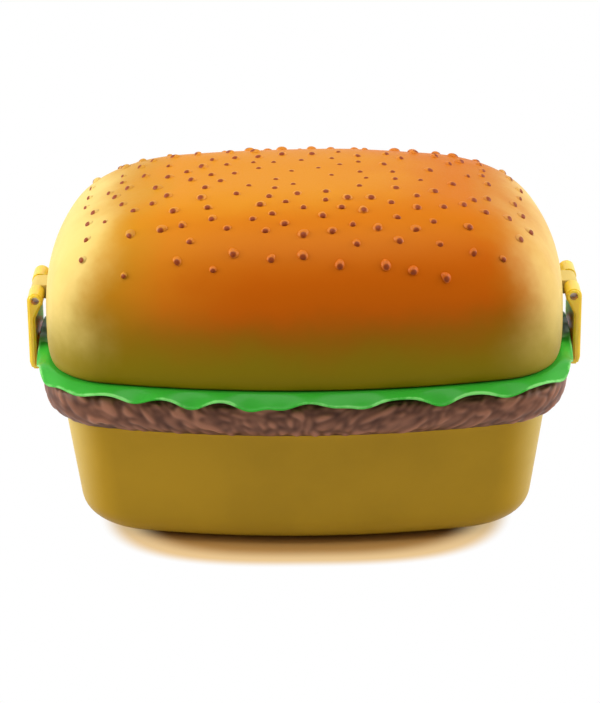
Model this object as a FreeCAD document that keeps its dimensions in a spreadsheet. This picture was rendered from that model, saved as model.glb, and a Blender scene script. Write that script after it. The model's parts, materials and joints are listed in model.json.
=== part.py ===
"""Burger-shaped two-tier lunch box, in millimetres.

Frame: +X along the box, -Y towards the front, +Z up, origin on the table under the middle of the box.
Every plan outline is eight tangent arcs: a shallow arc on each side and end, and four corner arcs.
"""
import FreeCAD
import Part
import math
import os
import Sketcher

SIZES = {
    # Plan of the top bun at its widest
    "half_length": 84,
    "half_width": 57,
    "side_radius": 260,
    "end_radius": 190,
    "corner_radius": 24,
    # Heights of the stacked pieces
    "base_height": 42,
    "patty_height": 12,
    "rim_thickness": 2,
    "leaf_thickness": 1.6,
    "lid_height": 53.5,
    # Bottom bun
    "base_inset": 4.6,
    "base_lean": 8,
    "base_round": 12,
    "base_corner_radius": 19.4,
    "base_wall": 2.2,
    "foot_width": 3,
    "foot_recess": 0.8,
    "rim_inset": 2,
    "bead_height": 0.8,
    "bead_reach": 0.7,
    # Patty band
    "patty_bulge": 2,
    "patty_waist": 8,
    "patty_foot_inset": 3.4,
    "patty_top_inset": 0.5,
    "patty_wall": 3.2,
    "patty_lip": 1.8,
    "band_clearance": 0.15,
    # Lettuce tray
    "basin_depth": 12,
    "basin_wall": 1.6,
    "basin_gap": 2,
    "collar_inset": 6.8,
    "collar_wall": 1.4,
    "collar_height": 3.5,
    "partition_thickness": 1.6,
    "frill_reach": 3.2,
    "frill_flare": 3.5,
    "frill_wall": 0.8,
    "frill_undercut": 0.7,
    "frill_drop": 1,
    "frill_drip": 2.9,
    "frill_ripple": 0.6,
    # Seals
    "seal_height": 2.6,
    "seal_clearance": 0.3,
    # Top bun
    "lid_wall": 2.2,
    "lid_tuck": 2.3,
    "tuck_height": 7,
    "dome_rise": 3.05,
    "dome_round": 3.45,
    # Clips and their hinges
    "clip_stand": 5.6,
    "clip_thickness": 2.4,
    "clip_width": 28,
    "nose_bite": 1.2,
    "nose_land": 1.5,
    "clip_reach_below": 2.2,
    "clip_edge": 0.7,
    "clip_edge_height": 2.5,
    "ear_drop": 6,
    "hinge_rise": 15,
    "knuckle_radius": 2.6,
    "lug_radius": 2.3,
    "lug_width": 10,
    "lug_side_gap": 0.3,
    "lug_turn_gap": 0.5,
    "pin_radius": 1.3,
    "pin_recess": 3,
    "pin_clearance": 0.06,
    "snap_gap": 0.35,
    "catch_reach": 1.5,
    "catch_width": 22,
    "catch_thickness": 2.4,
    "catch_depth": 1.6,
    "notch_side_gap": 1.5,
}

doc = FreeCAD.newDocument("burger_lunch_box")
sheet = doc.addObject("Spreadsheet::Sheet", "Sizes")
for row, (alias, number) in enumerate(SIZES.items(), start=1):
    sheet.set(f"A{row}", alias)
    sheet.set(f"B{row}", str(number))
    sheet.setAlias(f"B{row}", alias)
doc.recompute()

# Levels of the stack, from the table up
PATTY_Z = "Sizes.base_height"
RIM_Z = f"({PATTY_Z} + Sizes.patty_height)"
TRAY_Z = f"({RIM_Z} + Sizes.rim_thickness)"
LID_Z = f"({TRAY_Z} + Sizes.leaf_thickness)"
DOME_Z = f"({LID_Z} + Sizes.tuck_height)"
HINGE_Z = f"({LID_Z} + Sizes.hinge_rise)"

# Faces of the clips and their catches along +X
CLIP_OUT_X = "(Sizes.half_length + Sizes.clip_stand)"
CLIP_IN_X = f"({CLIP_OUT_X} - Sizes.clip_thickness)"
HINGE_X = f"({CLIP_OUT_X} - Sizes.knuckle_radius)"
CATCH_X = "(Sizes.half_length + Sizes.catch_reach)"
NOSE_X = f"({CATCH_X} - Sizes.nose_bite)"
CATCH_Z = f"({RIM_Z} - Sizes.catch_thickness)"
NOSE_Z = f"({CATCH_Z} - Sizes.snap_gap)"
NOTCH_WIDTH = "(Sizes.clip_width + 2 * Sizes.notch_side_gap)"
BEYOND_X = f"({CLIP_OUT_X} + Sizes.half_length)"

UP = FreeCAD.Vector(0, 0, 1)
SIDE_ARCS = 8
BASE_ROUND_SHARES = (0, 0.25, 0.5, 0.75, 1)
PATTY_LOWER_ANGLES = (90, 75, 55, 36, 18, 0)
PATTY_UPPER_ANGLES = (25, 50, 72, 90)
CHANNEL_ANGLES = (30, 0)
TUCK_STEPS = (0, 0.3)
DOME_ANGLES = (10, 25, 40, 54, 66, 75, 82, 87)
# Drips of the leaf's edge: distance from the middle of a side or end, and share of the full depth,
# below 0 where the leaf lifts behind a clip
SIDE_DRIPS = (
    (-71, 0.5), (-53, 0.7), (-35, 1), (-17, 1), (-7, 0.8), (9, 0.6), (18, 0.8), (42, 1), (63, 0.7),
)
END_DRIPS = ((-38, 0.7), (-20, 1), (-9, -0.55), (0, -0.55), (9, -0.55), (20, 1), (38, 0.7))
DRIP_WIDTH = 5.5
RUFFLE_POINTS = 160


def size(expression):
    """Number that an expression of the sheet's values gives."""
    result = sheet.evalExpression(expression)
    return float(getattr(result, "Value", result))


def plane_of(body, role):
    """Origin plane of a body, by its role."""
    return next(plane for plane in body.Origin.OriginFeatures if plane.Role == role)


def corner_centre(side_reach, side_centre, end_reach, end_centre):
    """Centre of the corner arc that touches the side arc and the end arc, in the +X +Y quarter."""
    span = math.hypot(side_centre, end_centre)
    along = (side_reach ** 2 - end_reach ** 2 + span ** 2) / (2 * span)
    across = math.sqrt(side_reach ** 2 - along ** 2)
    step_x = -end_centre / span
    step_y = side_centre / span
    return FreeCAD.Vector(along * step_x + across * step_y, -side_centre + along * step_y - across * step_x, 0)


class Outline:
    """Plan outline: the top bun's widest one, scaled by scale and grown outwards by grow."""

    def __init__(self, scale="1", grow="0", corner=None):
        self.side_radius = f"Sizes.side_radius * ({scale}) + ({grow})"
        self.end_radius = f"Sizes.end_radius * ({scale}) + ({grow})"
        self.corner_radius = corner or f"Sizes.corner_radius * ({scale}) + ({grow})"
        self.side_centre = f"(Sizes.side_radius - Sizes.half_width) * ({scale})"
        self.end_centre = f"(Sizes.end_radius - Sizes.half_length) * ({scale})"

    def arcs(self):
        """The eight arcs, counter-clockwise from the +X end."""
        side = size(self.side_radius)
        end = size(self.end_radius)
        corner = size(self.corner_radius)
        below = size(self.side_centre)
        behind = size(self.end_centre)
        pivot = corner_centre(side - corner, below, end - corner, behind)
        end_turn = math.atan2(pivot.y, pivot.x + behind)
        side_turn = math.atan2(pivot.y + below, pivot.x)
        quarter = (
            (FreeCAD.Vector(-behind, 0, 0), end, -end_turn, end_turn),
            (pivot, corner, end_turn, side_turn),
            (FreeCAD.Vector(0, -below, 0), side, side_turn, math.pi - side_turn),
            (FreeCAD.Vector(-pivot.x, pivot.y, 0), corner, math.pi - side_turn, math.pi - end_turn),
        )
        opposite = [(-centre, radius, start + math.pi, stop + math.pi) for centre, radius, start, stop in quarter]
        return [
            Part.ArcOfCircle(Part.Circle(centre, UP, radius), start, stop)
            for centre, radius, start, stop in list(quarter) + opposite
        ]


def outline_sketch(body, name, height, outline):
    """Closed outline on a level plane at the given height."""
    sketch = body.newObject("Sketcher::SketchObject", name)
    sketch.AttachmentSupport = [(plane_of(body, "XY_Plane"), "")]
    sketch.MapMode = "FlatFace"
    sketch.setExpression("AttachmentOffset.Base.z", height)
    sketch.addGeometry(outline.arcs(), False)
    rules = [Sketcher.Constraint("Tangent", arc, 2, (arc + 1) % SIDE_ARCS, 1) for arc in range(SIDE_ARCS)]
    rules += [
        Sketcher.Constraint("PointOnObject", 0, 3, -1),
        Sketcher.Constraint("PointOnObject", 2, 3, -2),
        Sketcher.Constraint("Symmetric", 0, 3, 4, 3, -1, 1),
        Sketcher.Constraint("Symmetric", 2, 3, 6, 3, -1, 1),
        Sketcher.Constraint("Equal", 0, 4),
        Sketcher.Constraint("Equal", 2, 6),
        Sketcher.Constraint("Equal", 1, 3),
        Sketcher.Constraint("Equal", 1, 5),
        Sketcher.Constraint("Equal", 1, 7),
    ]
    sketch.addConstraint(rules)
    for label, kind, points, expression in (
        ("end_centre", "DistanceX", (0, 3, -1, 1), outline.end_centre),
        ("side_centre", "DistanceY", (2, 3, -1, 1), outline.side_centre),
        ("end_radius", "Radius", (0,), outline.end_radius),
        ("side_radius", "Radius", (2,), outline.side_radius),
        ("corner_radius", "Radius", (1,), outline.corner_radius),
    ):
        index = sketch.addConstraint(Sketcher.Constraint(kind, *points, size(expression)))
        sketch.renameConstraint(index, label)
        sketch.setExpression(f"Constraints.{label}", expression)
    return sketch


def end_view_sketch(body, name):
    """Empty sketch on the upright plane through the middle, with X across and Z up."""
    sketch = body.newObject("Sketcher::SketchObject", name)
    sketch.AttachmentSupport = [(plane_of(body, "XZ_Plane"), "")]
    sketch.MapMode = "FlatFace"
    return sketch


def place_point(sketch, geometry, position, label, across, up):
    """Hold a point of a sketch at its distances from the origin."""
    for kind, side, expression in (("DistanceX", "x", across), ("DistanceY", "z", up)):
        rule = Sketcher.Constraint(kind, -1, 1, geometry, position, size(expression))
        index = sketch.addConstraint(rule)
        sketch.renameConstraint(index, f"{label}_{side}")
        sketch.setExpression(f"Constraints.{label}_{side}", expression)


def profile_sketch(body, name, corners):
    """Closed straight-sided profile through the given corners, each a pair of expressions."""
    sketch = end_view_sketch(body, name)
    places = [FreeCAD.Vector(size(across), size(up), 0) for across, up in corners]
    count = len(places)
    for index in range(count):
        sketch.addGeometry(Part.LineSegment(places[index], places[(index + 1) % count]), False)
    for index in range(count):
        sketch.addConstraint(Sketcher.Constraint("Coincident", index, 2, (index + 1) % count, 1))
    for index, (across, up) in enumerate(corners):
        place_point(sketch, index, 1, f"corner{index}", across, up)
    return sketch


def circle_sketch(body, name, across, up, radius):
    """Circle in the upright plane."""
    sketch = end_view_sketch(body, name)
    sketch.addGeometry(Part.Circle(FreeCAD.Vector(size(across), size(up), 0), UP, size(radius)), False)
    place_point(sketch, 0, 3, "centre", across, up)
    index = sketch.addConstraint(Sketcher.Constraint("Radius", 0, size(radius)))
    sketch.renameConstraint(index, "radius")
    sketch.setExpression("Constraints.radius", radius)
    return sketch


def extrude(body, kind, name, sketch, length, symmetric=False, backwards=False):
    """Pad or Pocket of a sketch."""
    feature = body.newObject(f"PartDesign::{kind}", name)
    feature.Profile = sketch
    feature.Type = "Length"
    feature.SideType = "Symmetric" if symmetric else "One side"
    feature.Reversed = backwards
    feature.setExpression("Length", length)
    return feature


def loft(body, kind, name, sections):
    """Smooth loft through sections, each a height and an outline."""
    sketches = [
        outline_sketch(body, f"{name}_section{index}", height, outline)
        for index, (height, outline) in enumerate(sections)
    ]
    feature = body.newObject(f"PartDesign::{kind}", name)
    feature.Profile = sketches[0]
    feature.Sections = sketches[1:]
    return feature


def level_plate(body, kind, name, height, outline, length):
    """Pad up, or Pocket down, of an outline at a height."""
    return extrude(body, kind, name, outline_sketch(body, f"{name}_outline", height, outline), length)


def mirror_ends(body, name, features):
    """Repeat features of the +X end at the -X end."""
    mirror = body.newObject("PartDesign::Mirrored", name)
    mirror.Originals = features
    mirror.MirrorPlane = (plane_of(body, "YZ_Plane"), [""])
    body.Tip = mirror
    return mirror


def new_body(name):
    return doc.addObject("PartDesign::Body", name)


def base_form(body, kind, name, wall):
    """Bottom bun's form, set in by a wall: a rounded foot, then a straight side that leans outwards."""
    corner = f"Sizes.base_corner_radius - ({wall})"
    turn = f"(Sizes.base_round - ({wall}))"
    lean = "tan(Sizes.base_lean * 1deg)"
    centre = f"(Sizes.base_inset + (Sizes.base_height - Sizes.base_round) * {lean}" \
        " + Sizes.base_round / cos(Sizes.base_lean * 1deg))"
    foot = []
    for share in BASE_ROUND_SHARES:
        angle = f"(90 - (90 - Sizes.base_lean) * {share}) * 1deg"
        height = f"Sizes.base_round - {turn} * sin({angle})"
        inset = f"{centre} - {turn} * cos({angle})"
        foot.append((height, Outline(grow=f"-({inset})", corner=corner)))
    loft(body, kind, f"{name}_foot", foot)
    top = Outline(grow=f"-Sizes.base_inset - ({wall}) / cos(Sizes.base_lean * 1deg)", corner=corner)
    side = loft(body, kind, f"{name}_side", [foot[-1], (PATTY_Z, top)])
    side.Ruled = True
    return centre


def make_bottom_bun():
    body = new_body("bottom_bun")
    side = Outline(grow="-Sizes.base_inset", corner="Sizes.base_corner_radius")
    inside = Outline(
        grow="-Sizes.base_inset - Sizes.base_wall", corner="Sizes.base_corner_radius - Sizes.base_wall"
    )
    foot = f"{base_form(body, 'AdditiveLoft', 'bun', '0')} + Sizes.foot_width"
    level_plate(body, "Pad", "rim_wall", PATTY_Z, side, f"{TRAY_Z} - {PATTY_Z}")
    level_plate(body, "Pad", "rim_flange", RIM_Z, Outline(grow="-Sizes.rim_inset"), "Sizes.rim_thickness")
    bead = Outline(grow="-Sizes.base_inset + Sizes.bead_reach")
    level_plate(body, "Pad", "snap_bead", f"{PATTY_Z} - Sizes.bead_height", bead, "Sizes.bead_height")
    base_form(body, "SubtractiveLoft", "hollow", "Sizes.base_wall")
    level_plate(body, "Pocket", "mouth", TRAY_Z, inside, f"{TRAY_Z} - {PATTY_Z}")
    recess_corner = "Sizes.base_corner_radius - Sizes.foot_width"
    recess = outline_sketch(body, "foot_recess_outline", "0", Outline(grow=f"-({foot})", corner=recess_corner))
    extrude(body, "Pocket", "foot_recess", recess, "Sizes.foot_recess", backwards=True)
    return body


def patty_lower(angle):
    """Height and growth of the band's rounded lower half, from 90 degrees at its foot to 0 at its waist."""
    height = f"{PATTY_Z} + Sizes.patty_waist * (1 - sin({angle}deg))"
    return height, f"Sizes.patty_bulge - (Sizes.patty_bulge + Sizes.patty_foot_inset) * (1 - cos({angle}deg))"


def patty_upper(angle):
    """Height and growth of the band's upper half, from 0 degrees at its waist to 90 at its top."""
    height = f"{PATTY_Z} + Sizes.patty_waist + (Sizes.patty_height - Sizes.patty_waist) * sin({angle}deg)"
    return height, f"Sizes.patty_bulge - (Sizes.patty_bulge + Sizes.patty_top_inset) * (1 - cos({angle}deg))"


def make_patty_band():
    body = new_body("patty_band")
    profile = [patty_lower(angle) for angle in PATTY_LOWER_ANGLES]
    profile += [patty_upper(angle) for angle in PATTY_UPPER_ANGLES]
    sections = [(height, Outline(grow=grow)) for height, grow in profile]
    loft(body, "AdditiveLoft", "band_form", sections)
    catch_root = f"({CATCH_X} - Sizes.patty_wall)"
    catch = profile_sketch(body, "catch_profile", (
        (catch_root, CATCH_Z), (CATCH_X, CATCH_Z), (CATCH_X, RIM_Z), (catch_root, RIM_Z),
    ))
    catch_pad = extrude(body, "Pad", "catch", catch, "Sizes.catch_width", symmetric=True)
    below = f"({PATTY_Z} - Sizes.bead_height)"
    above = f"({RIM_Z} + Sizes.rim_thickness)"
    face = profile_sketch(body, "notch_profile", (
        (CATCH_X, below), (BEYOND_X, below), (BEYOND_X, above), (CATCH_X, above),
    ))
    face_cut = extrude(body, "Pocket", "notch", face, NOTCH_WIDTH, symmetric=True)
    pocket_x = f"({CATCH_X} - Sizes.catch_depth)"
    room = profile_sketch(body, "nose_room_profile", (
        (pocket_x, below), (BEYOND_X, below), (BEYOND_X, CATCH_Z), (pocket_x, CATCH_Z),
    ))
    room_cut = extrude(body, "Pocket", "nose_room", room, NOTCH_WIDTH, symmetric=True)
    mirror_ends(body, "other_end", [catch_pad, face_cut, room_cut])
    seat = Outline(
        grow="-Sizes.base_inset + Sizes.band_clearance", corner="Sizes.base_corner_radius + Sizes.band_clearance"
    )
    level_plate(body, "Pocket", "seat", RIM_Z, seat, "Sizes.patty_height")
    inner = [patty_lower(angle) for angle in CHANNEL_ANGLES]
    inner.append((f"{RIM_Z} - Sizes.patty_lip", "Sizes.patty_bulge"))
    hollow = [(height, Outline(grow=f"{grow} - Sizes.patty_wall")) for height, grow in inner]
    loft(body, "SubtractiveLoft", "channel", hollow)
    return body


class LeafEdge:
    """Places round an outline, by the distance walked from the middle of the front towards +X."""

    def __init__(self, outline):
        arcs = outline.arcs()
        self.arcs = arcs[6:] + arcs[:6]
        self.total = sum(arc.length() for arc in self.arcs)
        self.half_front = self.arcs[0].length() / 2

    def place(self, walked, reach, height):
        """Point at a walked distance, a reach outside the outline, at a height."""
        left = (walked + self.half_front) % self.total
        for arc in self.arcs:
            if left <= arc.length():
                break
            left -= arc.length()
        turn = arc.FirstParameter + left / arc.Radius
        outwards = FreeCAD.Vector(math.cos(turn), math.sin(turn), 0)
        return arc.Center + outwards * (arc.Radius + reach) + UP * height

    def drip(self, walked):
        """Share of a full drip at a walked distance: 1 at the tip of a drip, near 0 between drips."""
        share = 0
        for quarter, drips in enumerate((SIDE_DRIPS, END_DRIPS, SIDE_DRIPS, END_DRIPS)):
            for along, depth in drips:
                away = (walked - along - quarter * self.total / 4 + self.total / 2) % self.total - self.total / 2
                share += depth * math.exp(-(away / DRIP_WIDTH) ** 2)
        return share


def ruffle_ring(edge, reach, drop, at_foot):
    """Closed curve round the frill, level along its top and dripping along its foot."""
    places = []
    for index in range(RUFFLE_POINTS):
        walked = edge.total * index / RUFFLE_POINTS
        share = edge.drip(walked) if at_foot else 0
        out = reach + size("Sizes.frill_ripple") * share
        down = drop + size("Sizes.frill_drip") * share
        places.append(edge.place(walked, out, size(LID_Z) - down))
    curve = Part.BSplineCurve()
    curve.interpolate(Points=places, PeriodicFlag=True)
    return curve.toShape()


def make_frill():
    """Ruffled edge of the leaf: a sheet that slopes outwards from the plate, with drips at uneven places."""
    edge = LeafEdge(Outline())
    foot = size("Sizes.frill_reach")
    root = foot - size("Sizes.frill_flare")
    under = size("Sizes.frill_undercut")
    drop = size("Sizes.frill_drop")
    rings = [
        ruffle_ring(edge, root, 0, False),
        ruffle_ring(edge, foot, drop, True),
        ruffle_ring(edge, foot - under, drop + size("Sizes.frill_wall"), True),
        ruffle_ring(edge, root - under, size("Sizes.leaf_thickness"), False),
    ]
    faces = [Part.makeRuledSurface(rings[index], rings[(index + 1) % 4]) for index in range(4)]
    shell = Part.Shell(faces)
    shell.sewShape()
    frill = doc.addObject("Part::Feature", "leaf_frill")
    frill.Shape = Part.Solid(shell)
    return frill


def make_tray_core():
    """Level parts of the tray: leaf plate, collar for the lid, and the food basin that hangs in the container."""
    body = new_body("tray_core")
    basin_outer = "Sizes.base_inset + Sizes.base_wall + Sizes.basin_gap"
    basin_floor = f"{TRAY_Z} - Sizes.basin_depth"
    plate = Outline(grow="Sizes.frill_reach - Sizes.frill_flare - Sizes.frill_undercut / 2")
    level_plate(body, "Pad", "leaf_plate", TRAY_Z, plate, "Sizes.leaf_thickness")
    level_plate(body, "Pad", "collar", LID_Z, Outline(grow="-Sizes.collar_inset"), "Sizes.collar_height")
    basin = Outline(grow=f"-({basin_outer})")
    level_plate(body, "Pad", "basin", basin_floor, basin, "Sizes.basin_depth")
    collar_room = Outline(grow="-Sizes.collar_inset - Sizes.collar_wall")
    level_plate(
        body, "Pocket", "collar_room", f"{LID_Z} + Sizes.collar_height", collar_room, "Sizes.collar_height"
    )
    basin_room = Outline(grow=f"-({basin_outer}) - Sizes.basin_wall")
    level_plate(
        body, "Pocket", "basin_room", LID_Z, basin_room,
        "Sizes.leaf_thickness + Sizes.basin_depth - Sizes.basin_wall",
    )
    return body


def make_box(name, corner, extents):
    """Block from its low corner and its extents, all expressions."""
    block = doc.addObject("Part::Box", name)
    for side, expression in zip(("x", "y", "z"), corner):
        block.setExpression(f"Placement.Base.{side}", expression)
    for side, expression in zip(("Length", "Width", "Height"), extents):
        block.setExpression(side, expression)
    return block


def make_lettuce_tray():
    half_basin = "(Sizes.half_width - Sizes.base_inset - Sizes.base_wall - Sizes.basin_gap - Sizes.basin_wall / 2)"
    partition = make_box(
        "partition",
        ("-Sizes.partition_thickness / 2", f"-{half_basin}", f"{TRAY_Z} - Sizes.basin_depth + Sizes.basin_wall / 2"),
        ("Sizes.partition_thickness", f"2 * {half_basin}", "Sizes.basin_depth - Sizes.basin_wall / 2"),
    )
    tray = doc.addObject("Part::MultiFuse", "lettuce_tray")
    tray.Shapes = [make_tray_core(), make_frill(), partition]
    return tray


def make_seal(name, height, outer, inner):
    """Flat-sided silicone ring between two outlines."""
    body = new_body(name)
    level_plate(body, "Pad", "ring", height, Outline(grow=outer), "Sizes.seal_height")
    level_plate(body, "Pocket", "room", f"{height} + Sizes.seal_height", Outline(grow=inner), "Sizes.seal_height")
    return body


def dome_sections(wall):
    """Sections of the top bun, set in by a wall: tucked lower edge, then a crowned dome."""
    sections = []
    for step in TUCK_STEPS:
        tuck = f"Sizes.lid_tuck * (1 - sqrt(1 - (1 - {step}) ^ 2))"
        sections.append((f"{LID_Z} + Sizes.tuck_height * {step}", Outline(grow=f"-({tuck}) - ({wall})")))
    sections.append((DOME_Z, Outline(grow=f"-({wall})")))
    for angle in DOME_ANGLES:
        rise = f"(Sizes.lid_height - Sizes.tuck_height - ({wall})) * sin({angle}deg) ^ (2 / Sizes.dome_rise)"
        scale = f"cos({angle}deg) ^ (2 / Sizes.dome_round)"
        sections.append((f"{DOME_Z} + {rise}", Outline(scale=scale, grow=f"-({wall})")))
    return sections


def make_bun_lid():
    body = new_body("bun_lid")
    loft(body, "AdditiveLoft", "dome", dome_sections("0"))
    root = "(Sizes.half_length - 3 * Sizes.lid_wall)"
    low = f"({HINGE_Z} - Sizes.lug_radius)"
    high = f"({HINGE_Z} + Sizes.lug_radius)"
    arm = profile_sketch(body, "lug_profile", ((root, low), (HINGE_X, low), (HINGE_X, high), (root, high)))
    arm_pad = extrude(body, "Pad", "lug_arm", arm, "Sizes.lug_width", symmetric=True)
    nose = circle_sketch(body, "lug_end_circle", HINGE_X, HINGE_Z, "Sizes.lug_radius")
    nose_pad = extrude(body, "Pad", "lug_end", nose, "Sizes.lug_width", symmetric=True)
    bore = circle_sketch(body, "lug_bore_circle", HINGE_X, HINGE_Z, "Sizes.pin_radius + Sizes.pin_clearance")
    bore_cut = extrude(body, "Pocket", "lug_bore", bore, "Sizes.clip_width", symmetric=True)
    mirror_ends(body, "other_lug", [arm_pad, nose_pad, bore_cut])
    loft(body, "SubtractiveLoft", "hollow", dome_sections("Sizes.lid_wall"))
    return body


def make_right_clip():
    """Snap clip: flat plate with a nose at its foot, forked at the top round the lid's lug."""
    body = new_body("right_clip")
    foot = f"({NOSE_Z} - Sizes.clip_reach_below)"
    plate = profile_sketch(body, "plate_profile", (
        (f"{CLIP_OUT_X} - Sizes.clip_edge", foot),
        (CLIP_OUT_X, f"{foot} + Sizes.clip_edge_height"),
        (CLIP_OUT_X, HINGE_Z),
        (f"{HINGE_X} - Sizes.knuckle_radius * 0.7", f"{HINGE_Z} - Sizes.knuckle_radius * 0.7"),
        (CLIP_IN_X, f"{HINGE_Z} - Sizes.ear_drop"),
        (CLIP_IN_X, NOSE_Z),
        (NOSE_X, NOSE_Z),
        (NOSE_X, f"{NOSE_Z} - Sizes.nose_land"),
        (CLIP_IN_X, foot),
    ))
    extrude(body, "Pad", "plate", plate, "Sizes.clip_width", symmetric=True)
    knuckle = circle_sketch(body, "knuckle_circle", HINGE_X, HINGE_Z, "Sizes.knuckle_radius")
    extrude(body, "Pad", "knuckle", knuckle, "Sizes.clip_width", symmetric=True)
    slot_low = f"({HINGE_Z} - Sizes.lug_radius - Sizes.lug_turn_gap)"
    slot_high = f"({HINGE_Z} + 2 * Sizes.knuckle_radius)"
    slot_in = f"({HINGE_X} - 2 * Sizes.knuckle_radius)"
    slot = profile_sketch(body, "slot_profile", (
        (slot_in, slot_low), (BEYOND_X, slot_low), (BEYOND_X, slot_high), (slot_in, slot_high),
    ))
    extrude(body, "Pocket", "slot", slot, "Sizes.lug_width + 2 * Sizes.lug_side_gap", symmetric=True)
    bore = circle_sketch(body, "pin_circle", HINGE_X, HINGE_Z, "Sizes.pin_radius")
    extrude(body, "Pocket", "pin_bore", bore, "2 * Sizes.clip_width", symmetric=True)
    return body


def make_left_clip(right_clip):
    clip = doc.addObject("Part::Mirroring", "left_clip")
    clip.Source = right_clip
    clip.Normal = FreeCAD.Vector(1, 0, 0)
    return clip


def make_pin(name, across):
    """Hinge pin along Y through a clip's ears and the lid's lug."""
    pin = doc.addObject("Part::Cylinder", name)
    pin.Placement = FreeCAD.Placement(FreeCAD.Vector(), FreeCAD.Rotation(FreeCAD.Vector(1, 0, 0), -90))
    pin.setExpression("Radius", "Sizes.pin_radius")
    pin.setExpression("Height", "Sizes.clip_width - 2 * Sizes.pin_recess")
    pin.setExpression("Placement.Base.x", across)
    pin.setExpression("Placement.Base.y", "Sizes.pin_recess - Sizes.clip_width / 2")
    pin.setExpression("Placement.Base.z", HINGE_Z)
    return pin


def make_nodes():
    """Every separate piece of the box, by its own name."""
    right_clip = make_right_clip()
    seal_gap = "Sizes.seal_clearance"
    inside = "Sizes.base_inset + Sizes.base_wall"
    nodes = [
        make_bottom_bun(),
        make_patty_band(),
        make_lettuce_tray(),
        make_seal(
            "tray_seal", f"({TRAY_Z} - Sizes.seal_height)",
            f"-({inside}) - {seal_gap}", f"-({inside}) - Sizes.basin_gap",
        ),
        make_bun_lid(),
        make_seal(
            "lid_seal", LID_Z, f"-Sizes.lid_tuck - Sizes.lid_wall - {seal_gap}", "-Sizes.collar_inset",
        ),
        right_clip,
        make_left_clip(right_clip),
        make_pin("right_clip_pin", HINGE_X),
        make_pin("left_clip_pin", f"-{HINGE_X}"),
    ]
    for node in nodes:
        node.Label = node.Name
    return nodes


def check_and_write(nodes):
    """Stop on any failed object or shape, then write one file for each piece."""
    for item in doc.Objects:
        if "Invalid" in item.State or "Error" in item.State:
            raise RuntimeError(f"{item.Label} failed: {item.State}")
    for node in nodes:
        if node.Shape.isNull() or not node.Shape.isValid() or not node.Shape.Solids:
            raise RuntimeError(f"{node.Label} has no valid solid")
    os.makedirs("parts", exist_ok=True)
    for node in nodes:
        node.Shape.exportStep(f"parts/{node.Label}.step")
        print(node.Label, len(node.Shape.Solids), "solid,", round(node.Shape.Volume), "mm3")


pieces = make_nodes()
doc.recompute()
check_and_write(pieces)
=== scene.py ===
"""Burger-shaped lunch box: moulded shells, sprayed bun, wrinkled patty and ruffled leaf, in metres."""
import json
import math

import bpy
import bmesh
import numpy as np
from mathutils import Matrix, Quaternion, Vector, noise


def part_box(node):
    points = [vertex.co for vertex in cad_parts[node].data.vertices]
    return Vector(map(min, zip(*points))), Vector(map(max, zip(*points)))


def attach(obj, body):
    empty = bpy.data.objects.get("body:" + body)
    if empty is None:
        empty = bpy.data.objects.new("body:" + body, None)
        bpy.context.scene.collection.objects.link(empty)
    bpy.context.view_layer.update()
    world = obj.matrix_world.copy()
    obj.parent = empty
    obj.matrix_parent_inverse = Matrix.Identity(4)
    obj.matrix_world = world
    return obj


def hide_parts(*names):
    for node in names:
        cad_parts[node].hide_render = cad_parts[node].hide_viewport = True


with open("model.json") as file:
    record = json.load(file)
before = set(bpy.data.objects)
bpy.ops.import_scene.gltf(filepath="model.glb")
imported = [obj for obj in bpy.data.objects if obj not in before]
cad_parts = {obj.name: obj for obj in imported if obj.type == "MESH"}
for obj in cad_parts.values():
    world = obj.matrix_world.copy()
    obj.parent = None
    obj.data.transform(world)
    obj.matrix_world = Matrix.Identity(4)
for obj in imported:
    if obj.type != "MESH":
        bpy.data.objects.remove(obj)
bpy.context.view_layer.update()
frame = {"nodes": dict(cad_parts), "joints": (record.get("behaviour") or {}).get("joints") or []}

bl_info = {
    "name": "Burger Lunch Box",
    "version": (1, 0, 0),
    "blender": (4, 5, 0),
    "location": "View3D > Sidebar > Lunch Box",
    "description": "Dresses a burger-shaped two-tier lunch box in its moulded and sprayed finishes",
    "category": "Object",
}

MM = 0.001

# Levels of the stack, taken from the frame
PATTY_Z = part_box("patty_band")[0].z
TRAY_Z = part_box("bottom_bun")[1].z
LID_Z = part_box("bun_lid")[0].z
CROWN_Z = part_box("bun_lid")[1].z
BASIN_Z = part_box("lettuce_tray")[0].z
COLLAR_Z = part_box("lettuce_tray")[1].z
CLIP_HALF_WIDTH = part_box("right_clip")[1].y
LUG_OUT_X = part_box("bun_lid")[1].x
HINGE = next(Vector(joint["pos_m"]) for joint in frame["joints"] if joint["name"] == "right_clip_hinge")

# Underside of the container's rim, and the catch of the band: how far out it stands, and its underside
RIM_THICKNESS, NOSE_BITE, CATCH_DROP = 2 * MM, 1.2 * MM, 4.4 * MM
RIM_Z = TRAY_Z - RIM_THICKNESS
CATCH_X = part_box("right_clip")[0].x + NOSE_BITE
CATCH_Z = TRAY_Z - CATCH_DROP

# Spacing of the mesh points round the outline, and counts of rings and points
SHELL_STEP, LEAF_STEP, BAND_STEP = 1.6 * MM, 0.8 * MM, 0.55 * MM
TUCK_STEPS, DOME_STEPS = 10, 56
SEED_AROUND, SEED_ROWS = 16, 8

# Drips of the leaf's edge: distance from the middle of a side or end in mm, and share of the full depth,
# below 0 where the leaf lifts behind a clip
SIDE_DRIPS = (
    (-71, 0.5), (-53, 0.7), (-35, 1), (-17, 1), (-7, 0.8), (9, 0.6), (18, 0.8), (42, 1), (63, 0.7),
)
END_DRIPS = ((-38, 0.7), (-20, 1), (-9, -0.55), (0, -0.55), (9, -0.55), (20, 1), (38, 0.7))
DRIP_WIDTH = 5.5 * MM

# Roughness of satin plastic over its grain, and the depth of that grain
SATIN = ((0.3, 0.36), (0.7, 0.46))
GRAIN_DEPTH = 0.2 * MM

# Edges that turn by more than this stay sharp, or are rounded on the clips
CREASE = math.radians(40)


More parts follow.
